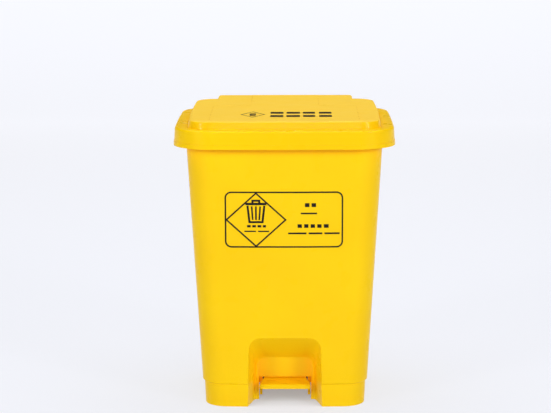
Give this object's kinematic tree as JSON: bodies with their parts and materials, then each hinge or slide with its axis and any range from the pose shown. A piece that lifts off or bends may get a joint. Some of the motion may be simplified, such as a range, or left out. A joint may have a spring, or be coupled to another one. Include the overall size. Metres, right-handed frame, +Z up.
{
  "type": "pedal waste bin",
  "caption": "Tapered moulded pedal bin with a flared sealing lid, foot recess, and a rod and lever lid lift.",
  "frame": {"origin": "on the floor, under the middle of the closed bin's bounding box", "axes": "+Z up, -Y out of the front with the pedal, +X to the right seen from the front"},
  "size_m": [0.425, 0.4228, 0.5669],
  "materials": {
    "bin_plastic": "satin moulded polypropylene",
    "lid_plastic": "satin moulded polypropylene",
    "pedal_plastic": "satin moulded polypropylene",
    "seal_rubber": "soft matte rubber",
    "zinc_steel": "zinc plated",
    "black_nylon": "moulded nylon",
    "print_ink": "screen printed ink"
  },
  "bodies": {
    "bin": {"bin_body": "bin_plastic", "hinge_axle": "zinc_steel", "hinge_axle_caps": "black_nylon", "pedal_axle": "zinc_steel", "pedal_axle_caps": "black_nylon", "rod_guide_lower": "black_nylon", "rod_guide_middle": "black_nylon", "rod_guide_upper": "black_nylon", "rod_guide_screws": "zinc_steel"},
    "lid": {"lid_shell": "lid_plastic", "lid_seal": "seal_rubber", "lid_crank": "zinc_steel", "lid_crank_screws": "zinc_steel", "crank_pin": "zinc_steel", "crank_pin_clip": "zinc_steel"},
    "pedal": {"pedal_lever": "pedal_plastic", "pedal_washers": "black_nylon", "lever_pin": "zinc_steel", "lever_pin_clip": "zinc_steel"},
    "rod": {"push_rod": "zinc_steel", "rod_top_fitting": "black_nylon", "rod_bottom_fitting": "black_nylon", "rod_lock_nuts": "zinc_steel"}
  },
  "joints": [
    {"name": "lid_open", "type": "hinge", "parent": "bin", "child": "lid", "pos_m": [0, 0.173, 0.499], "axis": [-1, 0, 0], "range_deg": [0, 75]},
    {"name": "pedal_press", "type": "hinge", "parent": "bin", "child": "pedal", "pos_m": [0, -0.021, 0.024], "axis": [1, 0, 0], "range_deg": [0, 10.57]},
    {"name": "rod_lift", "type": "slide", "parent": "bin", "child": "rod", "axis": [0, 0.0315, 0.9995], "range_m": [0, 0.02913]}
  ],
  "couplings": [
    {"joint": "pedal_press", "follows": "lid_open", "ratio": 0.14085},
    {"joint": "rod_lift", "follows": "lid_open", "m_per_rad": 0.022241}
  ]
}
